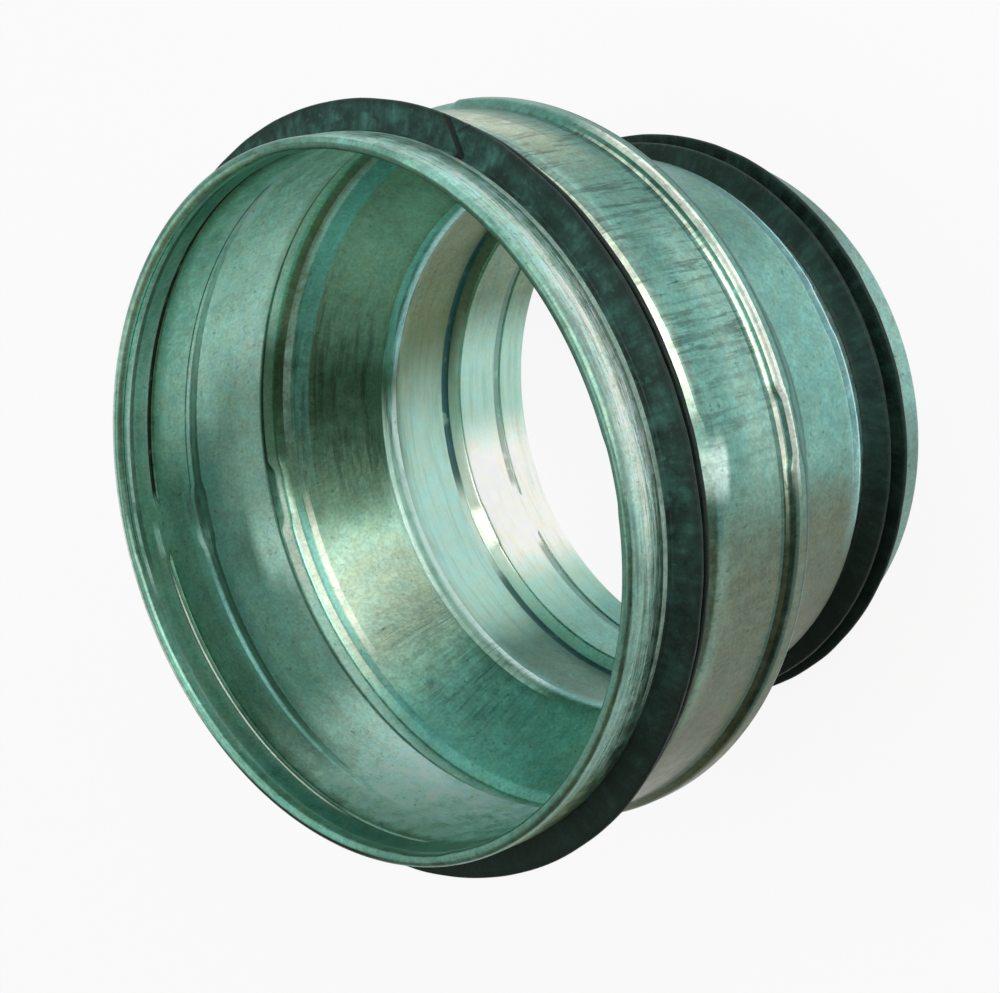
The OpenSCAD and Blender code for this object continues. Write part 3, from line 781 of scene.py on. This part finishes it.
def rubber_joint(g):
    """The butt joint of the large seal: a dark slanting cut, with a fainter one that crosses it"""
    parts = g.add("ShaderNodeSeparateXYZ")
    g.link(g.place, parts.inputs[0])
    radius = g.add("ShaderNodeVectorMath", operation="LENGTH")
    g.link(g.scaled(g.place, (1, 1, 0)), radius.inputs[0])
    out = g.math("DIVIDE", g.math("SUBTRACT", radius.outputs["Value"], JOINT_ROOT), JOINT_HEIGHT)
    away = g.math("SUBTRACT", g.bearing(), JOINT_BEARING)
    cut = g.near(g.math("MULTIPLY_ADD", out, -JOINT_SLANT, away), 0, 0.4, 0.5)
    branch = g.near(g.math("MULTIPLY_ADD", out, JOINT_SLANT, away), 0, 0.1, 0.4)
    branch = g.math("MULTIPLY", branch, g.spread(out, 0.1, 0.4, 0, 0.6))
    on_large_seal = g.spread(parts.outputs[2], 45 * MM, 50 * MM, 0, 1)
    return g.math("MULTIPLY", g.math("MAXIMUM", cut, branch), on_large_seal)


def rubber_material(context):
    """Moulded seal rubber with mottled dust where the dust attribute lets it settle"""
    finish = context.scene.reducer_finish
    made, tree, shader = fresh_material("seal rubber")
    g = Graph(tree)
    settled = g.add("ShaderNodeAttribute", attribute_name="dust").outputs["Fac"]
    patchy = g.grain(g.place, 190, 4, 0.7)
    fine = g.grain(g.place, 750, 3, 0.6)
    streaky = g.grain(g.round_about(26, 300), 1, 3, 0.6)
    clouds, streaks = g.spread(patchy, 0.36, 0.68, 0.15, 1.0), g.spread(streaky, 0.35, 0.65, 0.45, 1.0)
    dusty = g.math("MULTIPLY", clouds, streaks)
    dusty = g.math("ADD", dusty, g.spread(fine, 0.60, 0.72, 0, 0.4))
    dusty = g.math("MULTIPLY", dusty, settled, clamp=True)
    joint = rubber_joint(g)
    clean = g.math("MULTIPLY", dusty, g.math("SUBTRACT", 1, joint))
    g.link(g.mix(clean, finish.rubber, finish.rubber_dust), shader.inputs["Base Color"])
    g.link(g.spread(patchy, 0.3, 0.7, 0.42, 0.66), shader.inputs["Roughness"])
    shader.inputs["Specular IOR Level"].default_value = 0.3
    uneven = g.bump(patchy, 0.0006, 0.6)
    cut = g.bump(g.math("SUBTRACT", 1, joint), 0.0004, 1.0, uneven)
    g.link(g.bump(fine, 0.00015, 0.5, cut), shader.inputs["Normal"])
    return made


# Stage

CAMERA_PLACE = Vector((-334.4, -32.877, 391.105)) * MM
CAMERA_RIGHT = Vector((-0.70205952, 0.19965349, -0.68355754))
CAMERA_UP = Vector((-0.08543927, -0.9765753, -0.19748625))
CAMERA_BACK = Vector((-0.70697423, -0.08024444, 0.70267223))
SENSOR = 36  # mm
FOCAL_LENGTH, PHOTO_WIDTH = 2688, 1000  # pixels


def bearing(azimuth, elevation):
    """Direction at an azimuth from +X towards +Y and an elevation above the floor, in degrees"""
    turn, rise = math.radians(azimuth), math.radians(elevation)
    return Vector((math.cos(rise) * math.cos(turn), math.cos(rise) * math.sin(turn), math.sin(rise)))


def area_lamp(name, azimuth, elevation, distance, size, power, colour):
    """A soft panel that faces the middle of the part from a bearing"""
    data = bpy.data.lights.new(name, "AREA")
    data.shape = "RECTANGLE"
    data.size, data.size_y = size
    data.energy = power
    data.color = colour
    lamp = bpy.data.objects.new(name, data)
    bpy.context.collection.objects.link(lamp)
    towards = bearing(azimuth, elevation)
    lamp.location = Vector((0, 0, 0.05)) + towards * distance
    lamp.rotation_mode = "QUATERNION"
    lamp.rotation_quaternion = towards.to_track_quat("Z", "Y")
    return lamp


def paint_sky(tree, strength):
    """A soft grey-green room, darker and warmer on the side that faces away from the window"""
    link = tree.links.new
    ground = tree.nodes["Background"]
    ground.inputs["Strength"].default_value = strength
    place = tree.nodes.new("ShaderNodeTexCoord")
    side = tree.nodes.new("ShaderNodeVectorMath")
    side.operation = "DOT_PRODUCT"
    side.inputs[1].default_value = bearing(105, 5)
    link(place.outputs["Generated"], side.inputs[0])
    tones = tree.nodes.new("ShaderNodeValToRGB")
    tones.color_ramp.interpolation = "EASE"
    spread = tree.nodes.new("ShaderNodeMapRange")
    spread.inputs["From Min"].default_value = -1
    spread.inputs["From Max"].default_value = 1
    link(side.outputs["Value"], spread.inputs["Value"])
    link(spread.outputs["Result"], tones.inputs["Fac"])
    light, dark = tones.color_ramp.elements
    light.position, light.color = 0.25, (0.55, 0.68, 0.62, 1)
    dark.position, dark.color = 0.85, (0.16, 0.14, 0.09, 1)
    middle = tones.color_ramp.elements.new(0.6)
    middle.color = (0.30, 0.38, 0.33, 1)
    link(tones.outputs["Color"], ground.inputs["Color"])


def lay_floor(colour):
    """A pale floor that keeps shadows, and shows nearly white to the camera and in metal and rubber"""
    bpy.ops.object.select_all(action="DESELECT")
    bpy.ops.mesh.primitive_plane_add(size=6, location=(0, 0, 0))
    floor = bpy.context.object
    floor.name = "floor"
    made, tree, shader = fresh_material("pale floor")
    g = Graph(tree)
    shader.inputs["Base Color"].default_value = (*colour, 1)
    shader.inputs["Roughness"].default_value = 0.9
    shader.inputs["Specular IOR Level"].default_value = 0.1
    rays = g.add("ShaderNodeLightPath").outputs
    seen = g.math("MAXIMUM", rays["Is Camera Ray"], rays["Is Glossy Ray"])
    seen = g.math("MAXIMUM", seen, rays["Is Transmission Ray"])
    mix = g.add("ShaderNodeMixShader")
    g.link(g.math("MULTIPLY", seen, 0.9), mix.inputs["Fac"])
    g.link(shader.outputs["BSDF"], mix.inputs[1])
    g.link(g.add("ShaderNodeEmission").outputs["Emission"], mix.inputs[2])
    output = next(node for node in tree.nodes if node.type == "OUTPUT_MATERIAL")
    g.link(mix.outputs[0], output.inputs["Surface"])
    floor.data.materials.append(made)


def place_camera(context):
    """The camera where the fitted circles of the rims put it"""
    data = bpy.data.cameras.new("camera")
    data.sensor_width = SENSOR
    data.lens = FOCAL_LENGTH / PHOTO_WIDTH * SENSOR
    data.clip_start = 0.01
    data.clip_end = 20
    camera = bpy.data.objects.new("camera", data)
    context.collection.objects.link(camera)
    turn = Matrix((CAMERA_RIGHT, CAMERA_UP, CAMERA_BACK)).transposed()
    camera.rotation_mode = "QUATERNION"
    camera.rotation_quaternion = turn.to_quaternion()
    camera.location = CAMERA_PLACE
    context.scene.camera = camera


class REDUCER_OT_stage(bpy.types.Operator):
    """Lay the floor, hang the lamps and place the camera"""

    bl_idname = "reducer.stage"
    bl_label = "Studio"
    bl_options = {"REGISTER", "UNDO"}

    def execute(self, context):
        studio = context.scene.reducer_studio
        lay_floor(context.scene.reducer_finish.floor)
        world = bpy.data.worlds.new("studio")
        context.scene.world = world
        world.use_nodes = True
        paint_sky(world.node_tree, studio.sky)
        area_lamp("window", -158, 30, 1.3, (1.0, 1.3), studio.key, (1.0, 0.96, 0.88))
        area_lamp("overhead", 0, 80, 1.5, (0.9, 0.9), studio.fill, (0.93, 1.0, 0.97))
        place_camera(context)
        context.scene.view_settings.view_transform = "Standard"
        return {"FINISHED"}


class REDUCER_PT_panel(bpy.types.Panel):
    """Lists the steps that build the reducer"""

    bl_label = "Duct Reducer"
    bl_idname = "REDUCER_PT_panel"
    bl_space_type = "VIEW_3D"
    bl_region_type = "UI"
    bl_category = "Reducer"

    def draw(self, context):
        column = self.layout.column()
        for step in STEPS:
            column.operator(step.bl_idname)
        for group in ("reducer_sheet", "reducer_seals", "reducer_finish", "reducer_studio"):
            owner = getattr(context.scene, group)
            for name in owner.__annotations__:
                column.prop(owner, name)


GROUPS = {
    "reducer_sheet": ReducerSheet,
    "reducer_seals": SealSizes,
    "reducer_finish": Finishes,
    "reducer_studio": Studio,
}
STEPS = (REDUCER_OT_shell, REDUCER_OT_lip_seals, REDUCER_OT_stage)
CLASSES = (*GROUPS.values(), *STEPS, REDUCER_PT_panel)


def register():
    for item in CLASSES:
        bpy.utils.register_class(item)
    for name, group in GROUPS.items():
        setattr(bpy.types.Scene, name, PointerProperty(type=group))


def unregister():
    for name in GROUPS:
        delattr(bpy.types.Scene, name)
    for item in reversed(CLASSES):
        bpy.utils.unregister_class(item)


def main():
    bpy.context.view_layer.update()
    register()
    bpy.ops.reducer.shell()
    bpy.ops.reducer.lip_seals()
    bpy.ops.reducer.stage()


if __name__ == "__main__":
    main()
